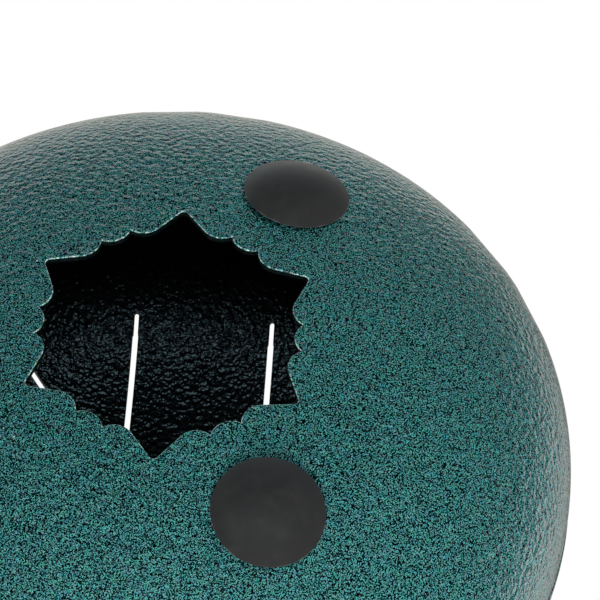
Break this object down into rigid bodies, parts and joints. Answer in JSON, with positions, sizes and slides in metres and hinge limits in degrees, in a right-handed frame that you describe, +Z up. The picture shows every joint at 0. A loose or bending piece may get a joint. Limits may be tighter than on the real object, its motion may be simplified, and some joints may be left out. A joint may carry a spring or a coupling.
{
  "type": "steel tongue drum",
  "caption": "Round steel tongue drum: two domed shells welded at the rim, U-slit tongues on top, a pointed rosette sound hole and rubber feet below.",
  "frame": {"origin": "on the floor, under the middle of the drum", "axes": "+Z up through the drum's middle, from the sound hole to the tongues; +Y along the middle of the first wide tongue"},
  "size_m": [0.2548, 0.2548, 0.1579],
  "materials": {
    "shell_enamel": "glossy hammered two-tone green enamel",
    "foot_rubber": "matte moulded rubber"
  },
  "bodies": {
    "root": {"tongue_shell": "shell_enamel", "lower_shell": "shell_enamel", "rim_weld": "shell_enamel", "rubber_foot_1": "foot_rubber", "rubber_foot_2": "foot_rubber", "rubber_foot_3": "foot_rubber"}
  },
  "joints": []
}
